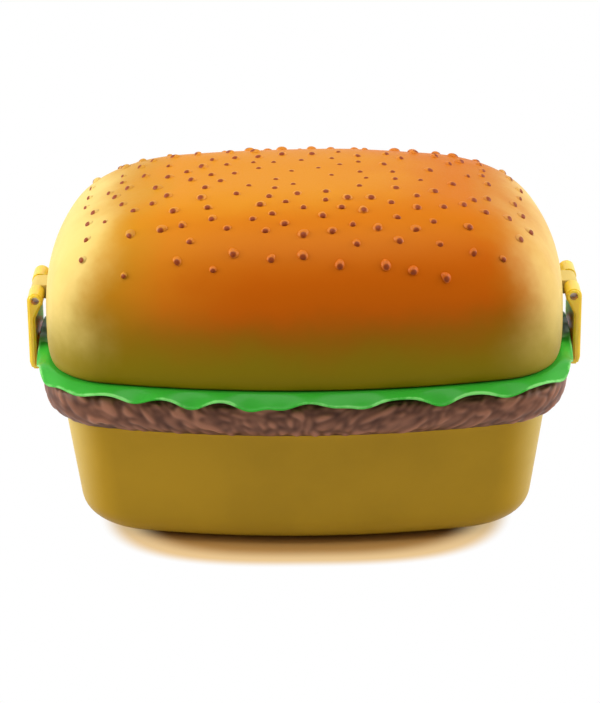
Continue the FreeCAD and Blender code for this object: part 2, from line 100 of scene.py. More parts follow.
def number(name, note, value, unit="NONE"):
    """Setting for a number."""
    return bpy.props.FloatProperty(name=name, description=note, default=value, unit=unit)


def length(name, note, size):
    """Setting for a length, given in millimetres."""
    return number(name, note, size * MM, "LENGTH")


def colour(name, note, shade):
    """Setting for a colour."""
    return bpy.props.FloatVectorProperty(
        name=name, description=note, default=shade, subtype="COLOR", size=3, min=0, max=1)


class PlanSizes(bpy.types.PropertyGroup):
    """Plan outline of the top bun at its widest: shallow arcs, joined by corner arcs."""

    half_length: length("Half length", "Middle to the end of the top bun", 84)
    half_width: length("Half width", "Middle to the side of the top bun", 57)
    side_radius: length("Side radius", "Radius of the shallow side arcs", 260)
    end_radius: length("End radius", "Radius of the shallow end arcs", 190)
    corner_radius: length("Corner radius", "Radius of the corner arcs", 24)


class ShellSizes(bpy.types.PropertyGroup):
    """Walls and forms of the moulded pieces."""

    lid_wall: length("Lid wall", "Thickness of the bun lid", 2.2)
    lid_tuck: length("Lid tuck", "How far the lid's edge turns in", 2.3)
    tuck_height: length("Tuck height", "Height over which the edge turns in", 7)
    dome_rise: number("Dome rise", "Fullness of the dome upwards", 3.05)
    dome_round: number("Dome round", "Fullness of the dome outwards", 3.45)
    base_inset: length("Base inset", "Bottom bun's rim inside the lid's outline", 4.6)
    base_lean: number("Base lean", "Lean of the bottom bun's side", math.radians(8), "ROTATION")
    base_round: length("Base round", "Radius round the foot", 12)
    base_corner: length("Base corner", "Plan corner radius of the bottom bun", 19.4)
    base_wall: length("Base wall", "Thickness of the bottom bun", 2.2)
    foot_width: length("Foot width", "Width of the ring that the box stands on", 3)
    foot_recess: length("Foot recess", "Depth of the recess inside the foot ring", 0.8)


class FinishColours(bpy.types.PropertyGroup):
    """Colours of the finishes."""

    bun_plastic: colour("Bun plastic", "Bare plastic of the bottom bun", (0.435, 0.25, 0.013))
    # Painted shade: the darker olive low on the lid stands in for the shade along its lower edge
    bun_olive_shade: colour("Bun olive", "Lower edge of the top bun, below the toast", (0.24, 0.168, 0.003))
    # Painted highlight: the paler ends of both buns stand in for the light of the side lamps
    bun_pale_highlight: colour("Bun pale", "Pale ends of both buns", (0.78, 0.60, 0.19))
    toast_light: colour("Light toast", "Thin sprayed toast", (0.64, 0.25, 0.012))
    toast_dark: colour("Dark toast", "Heavy sprayed toast", (0.54, 0.108, 0.002))
    # Dark seed spot: toasted paint, and painted shade on each seed's lower side
    seed: colour("Seed", "Toasted spots of the sesame seeds", (0.24, 0.036, 0.001))
    patty: colour("Patty", "Raised wrinkles of the patty", (0.34, 0.142, 0.080))
    # Painted shade: the folds are darker where shade falls between the wrinkles
    patty_fold_shade: colour("Patty fold", "Folds between the wrinkles", (0.062, 0.02, 0.010))
    leaf: colour("Leaf", "Green of the tray", (0.034, 0.36, 0.026))
    # Painted highlight: the paler green along the ruffled edge stands in for the gloss on it
    leaf_rim_highlight: colour("Leaf rim", "Paler green of the ruffled edge", (0.20, 0.62, 0.15))
    clip: colour("Clip", "Yellow of the clips", (0.82, 0.56, 0.02))
    silicone: colour("Silicone", "White of the seals", (0.78, 0.78, 0.75))
    steel: colour("Steel", "Hinge pins", (0.55, 0.55, 0.55))


def scene_settings(context):
    """Plan, shell and colour settings of the scene."""
    scene = context.scene
    return scene.lunch_box_plan, scene.lunch_box_shells, scene.lunch_box_colours


class PlanOutline:
    """Sampled plan outline: points, outward directions and distance walked from the front."""

    def __init__(self, plan, fineness):
        self.plan = plan
        corner_turn = 1.3
        corner_steps = round(plan.corner_radius * corner_turn / fineness)
        end_steps = round(2 * plan.half_width / fineness)
        side_steps = round(2 * plan.half_length / fineness)
        self.steps = (end_steps, corner_steps, side_steps, corner_steps)
        self.points, self.outwards = self.trace(plan.corner_radius)
        gaps = np.linalg.norm(np.roll(self.points, -1, axis=0) - self.points, axis=1)
        self.total = gaps.sum()
        self.from_start = np.concatenate(([0], np.cumsum(gaps)[:-1]))
        front = np.argmin(np.abs(self.points[:, 0]) + (self.points[:, 1] > 0))
        self.walked = (self.from_start - self.from_start[front]) % self.total

    def trace(self, corner, scale=1.0, grow=0.0):
        """Points and outward directions of the outline, scaled, then grown outwards."""
        plan = self.plan
        side = plan.side_radius * scale + grow
        end = plan.end_radius * scale + grow
        below = (plan.side_radius - plan.half_width) * scale
        behind = (plan.end_radius - plan.half_length) * scale
        span = math.hypot(below, behind)
        along = ((side - corner) ** 2 - (end - corner) ** 2 + span ** 2) / (2 * span)
        across = math.sqrt((side - corner) ** 2 - along ** 2)
        pivot_x = (across * below - along * behind) / span
        pivot_y = -below + (along * below + across * behind) / span
        end_turn = math.atan2(pivot_y, pivot_x + behind)
        side_turn = math.atan2(pivot_y + below, pivot_x)
        half = (
            ((-behind, 0), end, -end_turn, end_turn),
            ((pivot_x, pivot_y), corner, end_turn, side_turn),
            ((0, -below), side, side_turn, math.pi - side_turn),
            ((-pivot_x, pivot_y), corner, math.pi - side_turn, math.pi - end_turn),
        )
        points = []
        outwards = []
        for (centre, radius, start, stop), steps in zip(half, self.steps):
            turns = np.linspace(start, stop, steps, endpoint=False)
            direction = np.stack((np.cos(turns), np.sin(turns)), axis=1)
            points.append(centre + radius * direction)
            outwards.append(direction)
        mirrored = [[-run for run in runs] for runs in (points, outwards)]
        return np.concatenate(points + mirrored[0]), np.concatenate(outwards + mirrored[1])

    def ring(self, grow, height):
        """Ring grown from the outline; grow and height are numbers or one value for each point."""
        spread = np.broadcast_to(grow, len(self.points))[:, None]
        flat = self.points + self.outwards * spread
        return np.column_stack((flat, np.broadcast_to(height, len(self.points))))

    def cornered_ring(self, corner, grow, height, scale=1.0):
        """Ring of points on the scaled outline, grown outwards, with a corner radius of its own."""
        flat = self.trace(corner, scale, grow)[0]
        return np.column_stack((flat, np.full(len(flat), height)))

    def drip_share(self):
        """Share of a full drip at each point: 1 at the tip of a drip, near 0 between drips."""
        share = np.zeros(len(self.points))
        for quarter, drips in enumerate((SIDE_DRIPS, END_DRIPS, SIDE_DRIPS, END_DRIPS)):
            for along, depth in drips:
                away = self.walked - along * MM - quarter * self.total / 4
                away = (away + self.total / 2) % self.total - self.total / 2
                share += depth * np.exp(-(away / DRIP_WIDTH) ** 2)
        return share


def loft_faces(runs, count, capped):
    """Quads through a run of rings, closed by fans to the two points after them or back to the first ring."""
    faces = []
    steps = [(step, (step + 1) % count) for step in range(count)]
    for run in range(runs - 1 if capped else runs):
        low = run * count
        high = (run + 1) % runs * count
        faces += [(low + step, low + following, high + following, high + step) for step, following in steps]
    if capped:
        first = runs * count
        top = first - count
        for step, following in steps:
            faces.append((first, following, step))
            faces.append((first + 1, top + step, top + following))
    return faces


def shade_smooth(mesh, crease):
    """Shade a mesh smooth, with sharp edges kept where it turns by more than crease."""
    mesh.shade_smooth()
    mesh.set_sharp_from_angle(angle=crease)


def finish_mesh(mesh, crease=CREASE):
    """Face the surface outwards and shade it smooth."""
    shape = bmesh.new()
    shape.from_mesh(mesh)
    bmesh.ops.recalc_face_normals(shape, faces=shape.faces)
    shape.to_mesh(mesh)
    shape.free()
    shade_smooth(mesh, crease)
    mesh.update()


def shaped_mesh(name, shape):
    """Finished mesh of a shape, which is freed."""
    mesh = bpy.data.meshes.new(name)
    shape.to_mesh(mesh)
    shape.free()
    finish_mesh(mesh)
    return mesh


def new_mesh(name, places, faces, crease=CREASE, **point_values):
    """Finished mesh, whose material reads the values of its points by name."""
    mesh = bpy.data.meshes.new(name)
    mesh.from_pydata(places, [], faces)
    for key, values in point_values.items():
        mesh.attributes.new(key, "FLOAT", "POINT").data.foreach_set("value", values)
    finish_mesh(mesh, crease)
    return mesh


def ring_mesh(name, rings, capped=True, **details):
    """Mesh through a run of rings, closed by caps or, without caps, back to its first ring."""
    places = np.concatenate(rings)
    if capped:
        places = np.vstack((places, rings[0].mean(axis=0), rings[-1].mean(axis=0)))
    return new_mesh(name, places.tolist(), loft_faces(len(rings), len(rings[0]), capped), **details)


def new_object(name, data):
    """New object in the scene."""
    item = bpy.data.objects.new(name, data)
    bpy.context.scene.collection.objects.link(item)
    return item


def new_piece(name, mesh, body, material):
    """New piece that moves with a body."""
    piece = new_object(name, mesh)
    mesh.materials.append(material)
    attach(piece, body)
    return piece


def rounded_profile(corners, radius, steps=4):
    """Profile with its corners rounded and its ends as they are; corners are (grow, height) pairs."""
    most_of_edge = 0.45
    rounded = [corners[0]]
    for before, corner, after in zip(corners, corners[1:], corners[2:]):
        here = Vector(corner)
        back = Vector(before) - here
        on = Vector(after) - here
        reach = min(radius, back.length * most_of_edge, on.length * most_of_edge)
        start = here + back.normalized() * reach
        stop = here + on.normalized() * reach
        for step in range(steps + 1):
            share = step / steps
            rounded.append(tuple(start.lerp(here, share).lerp(here.lerp(stop, share), share)))
    rounded.append(corners[-1])
    return rounded


class NodeKit:
    """Adds shader nodes to one tree and links them."""

    def __init__(self, tree):
        self.tree = tree

    def feed(self, socket, value):
        """Link an input to an output, or set its plain value."""
        if isinstance(value, bpy.types.NodeSocket):
            self.tree.links.new(value, socket)
        else:
            socket.default_value = value

    def set(self, node, **inputs):
        """Feed inputs by name, with _ for each space."""
        for name, value in inputs.items():
            self.feed(node.inputs[name.replace("_", " ")], value)

    def add(self, kind, **inputs):
        """New node with its inputs fed."""
        node = self.tree.nodes.new(f"ShaderNode{kind}")
        self.set(node, **inputs)
        return node

    def group(self, group, **inputs):
        """Outputs of a node group, placed with its own values."""
        node = self.add("Group")
        node.node_tree = group
        self.set(node, **inputs)
        return node.outputs

    def mottle(self, blotch_scale, grain_scale):
        """Outputs of the shared mottle at these scales."""
        return self.group(mottle_group(), Blotch_Scale=blotch_scale, Grain_Scale=grain_scale)

    def attribute(self, name):
        """Value that the mesh's points hold under a name."""
        node = self.add("Attribute")
        node.attribute_name = name
        return node.outputs["Fac"]

    def place(self):
        """X, Y and Z of the shaded point on the object."""
        coordinates = self.add("TexCoord")
        return self.add("SeparateXYZ", Vector=coordinates.outputs["Object"]).outputs

    def math(self, operation, *values):
        """Math on outputs or numbers."""
        node = self.add("Math")
        node.operation = operation
        for socket, value in zip(node.inputs, values):
            self.feed(socket, value)
        return node.outputs["Value"]

    def centred(self, value, spread):
        """Noise between 0 and 1 turned into a drift to both sides of 0."""
        return self.math("MULTIPLY", self.math("SUBTRACT", value, 0.5), spread)

    def reach(self, value, middle, half):
        """Distance from a middle, as a share of a half length."""
        away = self.math("ABSOLUTE", self.math("SUBTRACT", value, middle))
        return self.math("DIVIDE", away, half)

    def ramp(self, value, stops, smooth=True):
        """Colour ramp over a value; stops are (position, colour or grey) pairs."""
        node = self.add("ValToRGB", Fac=value)
        node.color_ramp.interpolation = "EASE" if smooth else "LINEAR"
        elements = node.color_ramp.elements
        while len(elements) < len(stops):
            elements.new(0.5)
        for element, (position, shade) in zip(elements, stops):
            element.position = position
            grey = isinstance(shade, (int, float))
            element.color = (shade, shade, shade, 1) if grey else (*shade, 1)
        return node.outputs["Color"]

    def mix(self, factor, first, second, blend="MIX"):
        """Mix of two colours, each an output or a plain colour."""
        node = self.add("Mix")
        node.data_type = "RGBA"
        node.blend_type = blend
        self.feed(node.inputs["Factor"], factor)
        for name, value in (("A", first), ("B", second)):
            socket = next(item for item in node.inputs if item.name == name and item.type == "RGBA")
            linked = isinstance(value, bpy.types.NodeSocket)
            self.feed(socket, value if linked else (*value, 1))
        return next(item for item in node.outputs if item.type == "RGBA")

    def blotched(self, plain, mottle, dark, light):
        """Colour with darker and lighter blotches."""
        shade = self.ramp(mottle["Blotch"], ((0.3, dark), (0.7, light)))
        return self.mix(1.0, plain, shade, "MULTIPLY")

    def bump(self, shader, height, strength, distance=GRAIN_DEPTH):
        """Bump from a height into the shader's normal."""
        node = self.add("Bump", Height=height, Strength=strength, Distance=distance)
        self.set(shader, Normal=node.outputs["Normal"])

    def seen(self):
        """1 for what the camera sees, directly or through another surface, 0 for other light."""
        path = self.add("LightPath").outputs
        direct = self.math("MAXIMUM", path["Is Camera Ray"], path["Is Glossy Ray"])
        return self.math("MAXIMUM", direct, path["Is Transmission Ray"])


def new_material(name, **inputs):
    """New material, a kit for its nodes, and its shader with these plain inputs."""
    material = bpy.data.materials.new(name)
    material.use_nodes = True
    kit = NodeKit(material.node_tree)
    shader = material.node_tree.nodes["Principled BSDF"]
    kit.set(shader, **inputs)
    return material, kit, shader


def mottle_group():
    """Soft blotches and a fine moulded grain, shared by the plastics."""
    name = "Moulded Mottle"
    if name in bpy.data.node_groups:
        return bpy.data.node_groups[name]
    group = bpy.data.node_groups.new(name, "ShaderNodeTree")
    kit = NodeKit(group)
    layers = (("Blotch", 4.0, 0.55), ("Grain", 2.0, 0.6))
    for layer, _, _ in layers:
        group.interface.new_socket(f"{layer} Scale", in_out="INPUT", socket_type="NodeSocketFloat")
        group.interface.new_socket(layer, in_out="OUTPUT", socket_type="NodeSocketFloat")
    entry = group.nodes.new("NodeGroupInput")
    leave = group.nodes.new("NodeGroupOutput")
    place = kit.add("TexCoord").outputs["Object"]
    for layer, detail, roughness in layers:
        scale = entry.outputs[f"{layer} Scale"]
        noisy = kit.add("TexNoise", Vector=place, Scale=scale, Detail=detail, Roughness=roughness)
        kit.feed(leave.inputs[layer], noisy.outputs["Fac"])
    return group


def toast_and_light_group(colours, plan):
    """Bare bun plastic with toast sprayed from above: heavy on the crown and front, thin towards the ends.

    Painted highlights lie on the ends and towards the left, and painted shade low down.
    """
    name = "Sprayed Toast"
    if name in bpy.data.node_groups:
        return bpy.data.node_groups[name]
    group = bpy.data.node_groups.new(name, "ShaderNodeTree")
    group.interface.new_socket("Color", in_out="OUTPUT", socket_type="NodeSocketColor")
    group.interface.new_socket("Grain", in_out="OUTPUT", socket_type="NodeSocketFloat")
    leave = group.nodes.new("NodeGroupOutput")
    kit = NodeKit(group)
    place = kit.place()
    mottle = kit.mottle(45, 1400)
    unevenness, crown_share, crown_tilt, spray_x = 0.22, 0.3, 0.06, 6 * MM
    drift = kit.centred(mottle["Blotch"], unevenness)

    # Share of the lid's height, and of its half length from a place, higher up counting as further out
    level = kit.math("DIVIDE", kit.math("SUBTRACT", place["Z"], LID_Z), CROWN_Z - LID_Z)
    height = kit.math("ADD", level, drift)
    shoulder = kit.ramp(height, ((0.45, 0.0), (0.90, 0.11)))

    def reach_from(middle_x, shoulder_share):
        uneven = kit.math("ADD", kit.reach(place["X"], middle_x, plan.half_length), drift)
        return kit.math("MULTIPLY_ADD", shoulder, shoulder_share, uneven)

    # Where the spray lands: above the lower edge and away from the ends
    low_fade = kit.ramp(height, ((0.10, 0.0), (0.55, 1.0)))
    # The spray's middle lies right of centre, so the left end shows more of the painted highlight
    end_fade = kit.ramp(reach_from(spray_x, 0.5), ((0.60, 1.0), (0.94, 0.1)), smooth=False)
    spray = kit.math("MULTIPLY", low_fade, end_fade)

    # How brown it is: lighter on the crown; lighter towards the left end as painted light, and darker low
    # down as painted shade
    crown = kit.math("MULTIPLY_ADD", drift, crown_share, level)
    # Tilted so that the toast turns lighter towards the left: painted light, as from the stronger left lamp
    crown = kit.math("MULTIPLY_ADD", place["X"], -crown_tilt / plan.half_length, crown)
    crown_fade = kit.ramp(crown, ((0.64, 1.0), (0.92, 0.62), (1.0, 0.1)))
    middle = kit.math("ADD", drift, 0.5)
    from_left = kit.math("MULTIPLY_ADD", place["X"], 0.5 / plan.half_length, middle)
    left_painted_light = kit.ramp(from_left, ((0.1, 0.45), (0.45, 1.0)))
    browned_and_lit = kit.math("MULTIPLY", crown_fade, left_painted_light)
    low_painted_shade = kit.ramp(height, ((0.3, 0.7), (0.58, 1.0)))
    toast = kit.mix(browned_and_lit, colours.toast_light, colours.toast_dark)
    toast = kit.mix(1.0, toast, low_painted_shade, "MULTIPLY")

    # The plastic under it: darker olive along the edge as painted shade, and painted highlights on the ends
    # Painted highlight on the ends, reaching over the shoulders and fading low down
    end_highlight = kit.ramp(reach_from(0.0, 1.0), ((0.68, 0.0), (1.0, 1.0)))
    highlight_by_height = kit.ramp(height, ((0.05, 0.15), (0.45, 1.0)))
    above_edge = kit.ramp(height, ((0.25, 0.0), (0.75, 1.0)))
    plastic = kit.mix(above_edge, colours.bun_olive_shade, colours.bun_plastic)
    plastic = kit.mix(kit.math("MULTIPLY", end_highlight, highlight_by_height), plastic, colours.bun_pale_highlight)
    kit.set(leave, Color=kit.mix(spray, plastic, toast), Grain=mottle["Grain"])
    return group


def toasted_bun_material(colours, plan):
    """Satin bun with its sprayed toast, painted highlights and painted shade."""
    material, kit, shader = new_material("toasted_bun", Specular_IOR_Level=0.04)
    toast = kit.group(toast_and_light_group(colours, plan))
    rough = kit.ramp(toast["Grain"], SATIN, smooth=False)
    kit.set(shader, Base_Color=toast["Color"], Roughness=rough)
    kit.bump(shader, toast["Grain"], 0.10)
    return material


def seed_material(colours, plan):
    """Seeds in the bun's toast with a dark spot on the downhill side: toasted paint and painted shade."""
    material, kit, shader = new_material("toasted_seed", Specular_IOR_Level=0.2, Roughness=0.42)
    toast = kit.group(toast_and_light_group(colours, plan))
    mottle = kit.mottle(400, 2500)
    spot = kit.math("ADD", kit.attribute("spot"), kit.centred(mottle["Blotch"], 0.2))
    dark = kit.ramp(spot, ((0.05, 0.0), (0.45, 1.0)))
    kit.set(shader, Base_Color=kit.mix(dark, toast["Color"], colours.seed))
    kit.bump(shader, mottle["Grain"], 0.08)
    return material


def bun_plastic_material(colours, plan):
    """Bare satin plastic of the bottom bun, with painted highlights towards the ends."""
    material, kit, shader = new_material("bun_plastic", Specular_IOR_Level=0.08)
    # Painted highlight: the ends turn paler in place of the side lamps' light
    painted_highlight = kit.ramp(kit.reach(kit.place()["X"], 0.0, plan.half_length), ((0.76, 0.0), (1.0, 0.85)))
    mottle = kit.mottle(35, 1400)
    plastic = kit.mix(painted_highlight, colours.bun_plastic, colours.bun_pale_highlight)
    rough = kit.ramp(mottle["Grain"], SATIN, smooth=False)
    kit.set(shader, Base_Color=kit.blotched(plastic, mottle, 0.93, 1.03), Roughness=rough)
    kit.bump(shader, mottle["Grain"], 0.08)
    return material


def patty_material(colours):
    """Mauve-brown plastic, with painted shade that makes the folds darker than the wrinkles."""
    material, kit, shader = new_material("wrinkled_patty", Specular_IOR_Level=0.2, Roughness=0.46)
    mottle = kit.mottle(160, 2200)
    depth = kit.math("MULTIPLY_ADD", mottle["Blotch"], 0.25, kit.attribute("wrinkle"))
    shade = kit.ramp(depth, ((0.22, colours.patty_fold_shade), (0.85, colours.patty)), smooth=False)
    kit.set(shader, Base_Color=shade)
    kit.bump(shader, mottle["Blotch"], 0.2, 0.5 * MM)
    return material


def leaf_material(colours):
    """Glossy green plastic, with a painted highlight along the ruffled edge."""
    material, kit, shader = new_material(
        "leaf_green", Specular_IOR_Level=0.14, Roughness=0.26, Subsurface_Weight=0.25,
        Subsurface_Radius=(1 * MM, 3 * MM, 1 * MM), Subsurface_Scale=1.0)
    mottle = kit.mottle(120, 1200)
    drift = kit.math("MULTIPLY", mottle["Blotch"], 2.0)
    edge = kit.ramp(kit.math("MULTIPLY", kit.attribute("rim"), drift), ((0.6, 0.0), (1.0, 1.0)))
    kit.set(shader, Base_Color=kit.mix(edge, colours.leaf, colours.leaf_rim_highlight))
    kit.bump(shader, mottle["Blotch"], 0.12, 0.6 * MM)
    return material


def clip_material(colours):
    """Glossy yellow plastic with faint flow marks."""
    material, kit, shader = new_material(
        "clip_yellow", Roughness=0.28, Subsurface_Weight=0.5,
        Subsurface_Radius=(3 * MM, 2 * MM, 0.4 * MM), Subsurface_Scale=1.0)
    mottle = kit.mottle(90, 1600)
    kit.set(shader, Base_Color=kit.blotched(colours.clip, mottle, 0.92, 1.04))
    kit.bump(shader, mottle["Grain"], 0.05)
    return material


def silicone_material(colours):
    """Milky soft silicone."""
    material, kit, shader = new_material(
        "seal_silicone", Roughness=0.55, Subsurface_Weight=0.15, Subsurface_Radius=(1 * MM, 1 * MM, 1 * MM))
    kit.set(shader, Base_Color=kit.blotched(colours.silicone, kit.mottle(200, 2500), 0.94, 1.02))
    return material


def steel_material(colours):
    """Steel wire with a finely uneven polish."""
    material, kit, shader = new_material("pin_steel", Base_Color=(*colours.steel, 1), Metallic=1)
    grain = kit.mottle(300, 4000)["Grain"]
    kit.set(shader, Roughness=kit.ramp(grain, ((0.3, 0.28), (0.7, 0.45)), smooth=False))
    return material


def dome_height(shells, scale, wall=0.0):
    """Height of the dome where the outline is scaled by scale, a little below the tops of the seeds."""
    seed_room = 0.3 * MM
    rise = CROWN_Z - seed_room - LID_Z - shells.tuck_height - wall
    full = max(0.0, 1 - scale ** shells.dome_round)
    return LID_Z + shells.tuck_height + rise * full ** (1 / shells.dome_rise)


def dome_rings(outline, shells, wall):
    """Rings of the bun's form, set in by a wall, from its tucked edge to near the crown."""
    last_turn, wall_gain = math.radians(88.5), 3
    rings = []
    for step in range(TUCK_STEPS):
        share = step / TUCK_STEPS
        tuck = shells.lid_tuck * (1 - math.sqrt(1 - (1 - share) ** 2))
        rings.append(outline.ring(-tuck - wall, LID_Z + shells.tuck_height * share))
    for step in range(DOME_STEPS):
        turn = last_turn * step / (DOME_STEPS - 1)
        scale = math.cos(turn) ** (2 / shells.dome_round)
        grow = -wall * min(1, scale * wall_gain)
        corner = outline.plan.corner_radius * scale + grow
        rings.append(outline.cornered_ring(corner, grow, dome_height(shells, scale, wall), scale))
    return rings


def soften(rings):
    """Faint unevenness of a hand-finished mould, above the tucked edge."""
    spread, depth, top = 26 * MM, 0.35 * MM, CROWN_Z - 0.15 * MM
    for ring in rings[TUCK_STEPS + 2:]:
        for place in ring:
            place[2] = min(top, place[2] + depth * noise.noise(Vector(place) / spread))


def lug_mesh(name, side, plan):
    """Round-nosed hinge lug that stands out of the lid's end."""
    sunk, half, edge_round, steps = 3.5 * MM, 5 * MM, 0.3 * MM, 14
    radius = LUG_OUT_X - HINGE.x
    root = plan.half_length - sunk
    turns = [math.radians(-90 + 180 * step / steps) for step in range(steps + 1)]
    profile = [(root, HINGE.z - radius)]
    profile += [(HINGE.x + radius * math.cos(turn), HINGE.z + radius * math.sin(turn)) for turn in turns]
    profile.append((root, HINGE.z + radius))
    shape = bmesh.new()
    near = [shape.verts.new((side * across, -half, up)) for across, up in profile]
    grown = bmesh.ops.extrude_face_region(shape, geom=[shape.faces.new(near)])
    moved = [item for item in grown["geom"] if isinstance(item, bmesh.types.BMVert)]
    bmesh.ops.translate(shape, verts=moved, vec=(0, 2 * half, 0))
    sharp = [edge for edge in shape.edges if edge.calc_length() < half]
    bmesh.ops.bevel(shape, geom=sharp, offset=edge_round, segments=2, affect="EDGES")
    return shaped_mesh(name, shape)


class LUNCHBOX_OT_bun_lid(bpy.types.Operator):
    """Domed bun lid with its hollow, and the hinge lugs on its ends"""

    bl_idname = "lunchbox.bun_lid"
    bl_label = "Bun Lid"

    def execute(self, context):
        plan, shells, colours = scene_settings(context)
        toast = toasted_bun_material(colours, plan)
        outline = PlanOutline(plan, SHELL_STEP)
        outside = dome_rings(outline, shells, 0.0)
        inside = dome_rings(outline, shells, shells.lid_wall)
        soften(outside)
        mesh = ring_mesh("bun_shell", list(reversed(inside)) + outside)
        shell = new_piece("bun_shell", mesh, "lid", toast)
        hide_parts("bun_lid")
        for side, name in ((1, "right_lug"), (-1, "left_lug")):
            new_piece(name, lug_mesh(name, side, plan), "lid", toast)
        return {"FINISHED"}


def dome_place(outline, shells, across, deep):
    """Point of the dome above a plan place, with its scale on the outline."""
    turns = np.arctan2(outline.points[:, 1], outline.points[:, 0])
    turn = math.atan2(deep, across)
    nearest = np.argmin(np.abs((turns - turn + math.pi) % (2 * math.pi) - math.pi))
    scale = math.hypot(across, deep) / np.linalg.norm(outline.points[nearest])
    return Vector((across, deep, dome_height(shells, min(scale, 1.0)))), scale


def seed_places(outline, shells):
    """Seed places with their outward directions, closest near the top and sparser towards the sides."""
    plan = outline.plan
    seeds, tries, draw = 185, 9000, 11
    side_limit, end_limit = 0.93, 0.85
    room, more_room, sparse_from, sparse_over = 6.4, 2.0, 0.7, 0.23
    rng = np.random.default_rng(draw)
    kept = []
    for _ in range(tries):
        across = rng.uniform(-1, 1) * plan.half_length
        deep = rng.uniform(-1, 1) * plan.half_width
        place, scale = dome_place(outline, shells, across, deep)
        if scale > side_limit or abs(across) > end_limit * plan.half_length:
            continue
        apart = (room + more_room * max(0.0, scale - sparse_from) / sparse_over) * MM
        if all((place - other).length > apart for other, _ in kept):
            kept.append((place, dome_normal(outline, shells, across, deep)))
        if len(kept) >= seeds:
            break
    return kept


def dome_normal(outline, shells, across, deep):
    """Outward direction of the dome above a plan place."""
    step = 0.5 * MM
    here = dome_place(outline, shells, across, deep)[0]
    right = dome_place(outline, shells, across + step, deep)[0]
    back = dome_place(outline, shells, across, deep + step)[0]
    return (right - here).cross(back - here).normalized()


def seed_points(place, up, index):
    """Points of one teardrop seed, lying on the surface with its own turn and size: rings, then caps."""
    first_draw, smallest, largest = 1000, 0.7, 1.15
    half_long, half_wide, taper = 1.75, 1.45, 0.2
    stand, sunk, spare = 0.85, 0.25, 0.02
    rng = np.random.default_rng(first_draw + index)
    size = rng.uniform(smallest, largest)
    turn = Quaternion(up, rng.uniform(0, 2 * math.pi)) @ up.to_track_quat("Z", "Y")
    place = place - Vector((0, 0, max(0.0, place.z + (stand * size + spare) * MM - CROWN_Z)))
    local = []
    for row in range(SEED_ROWS):
        lift = math.sin(math.pi / 2 * row / SEED_ROWS)
        width = math.cos(math.pi / 2 * row / SEED_ROWS)
        for step in range(SEED_AROUND):
            angle = 2 * math.pi * step / SEED_AROUND
            long = half_long * math.cos(angle)
            wide = half_wide * math.sin(angle) * (1 - taper * math.cos(angle))
            local.append((long * width, wide * width, (stand + sunk) * lift - sunk))
    local += [(0, 0, -sunk), (0, 0, stand)]
    return [place + turn @ (Vector(point) * size * MM) for point in local]


class LUNCHBOX_OT_sesame_seeds(bpy.types.Operator):
    """Sesame seeds moulded on the crown of the bun"""

    bl_idname = "lunchbox.sesame_seeds"
    bl_label = "Sesame Seeds"

    def execute(self, context):
        plan, shells, colours = scene_settings(context)
        spot_lift, spot_slip, spot_radius = 0.5 * MM, 0.95 * MM, 1.3 * MM
        ridge_y, end_lean = 32 * MM, 0.5
        verts = []
        faces = []
        spots = []
        for index, (place, up) in enumerate(seed_places(PlanOutline(plan, SHELL_STEP), shells)):
            start = len(verts)
            seed = seed_points(place, up, index)
            verts += seed
            for face in loft_faces(SEED_ROWS, SEED_AROUND, True):
                faces.append(tuple(start + corner for corner in face))
            # Painted shade: the dark spot is slid towards the seed's lower side, to the front for seeds in
            # front of ridge_y
            slope = Vector((place.x * end_lean, place.y - ridge_y, 0))
            slope = (slope - up * slope.dot(up)).normalized()
            middle = place + up * spot_lift + slope * spot_slip
            spots += [1 - (vert - middle).length / spot_radius for vert in seed]
        mesh = new_mesh("sesame_seeds", verts, faces, spot=spots)
        new_piece("sesame_seeds", mesh, "lid", seed_material(colours, plan))
        return {"FINISHED"}


def tray_rings(outline, shells, share):
    """Rings from under the basin, out round the frill, to the basin's floor, and the painted highlight on
    each.
    """
    clearance, wall, floor_run = 2 * MM, 1.6 * MM, 4 * MM
    collar, collar_wall = 6.8 * MM, 1.4 * MM
    root, reach, under = -0.3 * MM, 3.2 * MM, 0.7 * MM
    drop, drip, ripple, thick = 1 * MM, 2.9 * MM, 0.6 * MM, 0.8 * MM
    under_round, floor_round = 2.5 * MM, 0.6 * MM
    under_steps, slope_steps, first_step = 6, 14, 0.6
    under_highlight, slope_bend, highlight_fade = 0.6, 1.25, 3
    basin = shells.base_inset + shells.base_wall + clearance
    below = rounded_profile([
        (-basin - floor_run, BASIN_Z), (-basin, BASIN_Z), (-basin, TRAY_Z), (root - under, TRAY_Z),
    ], under_round)
    above = rounded_profile([
        (root, LID_Z), (-collar, LID_Z), (-collar, COLLAR_Z), (-collar - collar_wall, COLLAR_Z),
        (-collar - collar_wall, LID_Z), (-basin - wall, LID_Z), (-basin - wall, BASIN_Z + wall),
        (-basin - wall - floor_run, BASIN_Z + wall),
    ], floor_round)
    edge = reach + ripple * share
    fall = drop + drip * share
    levels = [(grow, height, 0.0) for grow, height in below]
    for step in range(1, under_steps + 1):
        part = step / under_steps
        grow = root - under + part * (edge - root)
        height = TRAY_Z + part * (LID_Z - fall - thick - TRAY_Z)
        levels.append((grow, height, under_highlight * part))
    for turn in np.radians((-40, 0, 40, 75)):
        grow = edge - under / 2 + under / 2 * math.cos(turn)
        height = LID_Z - fall - thick / 2 + thick / 2 * math.sin(turn)
        levels.append((grow, height, 1.0))
    for step in range(slope_steps):
        part = 1 - (step + first_step) / (slope_steps + first_step)
        grow = root + (edge - under / 2 - root) * part
        height = LID_Z - fall * part ** slope_bend
        levels.append((grow, height, part ** highlight_fade))
    levels += [(grow, height, 0.0) for grow, height in above]
    return [outline.ring(grow, height) for grow, height, _ in levels], [painted_highlight for _, _, painted_highlight in levels]


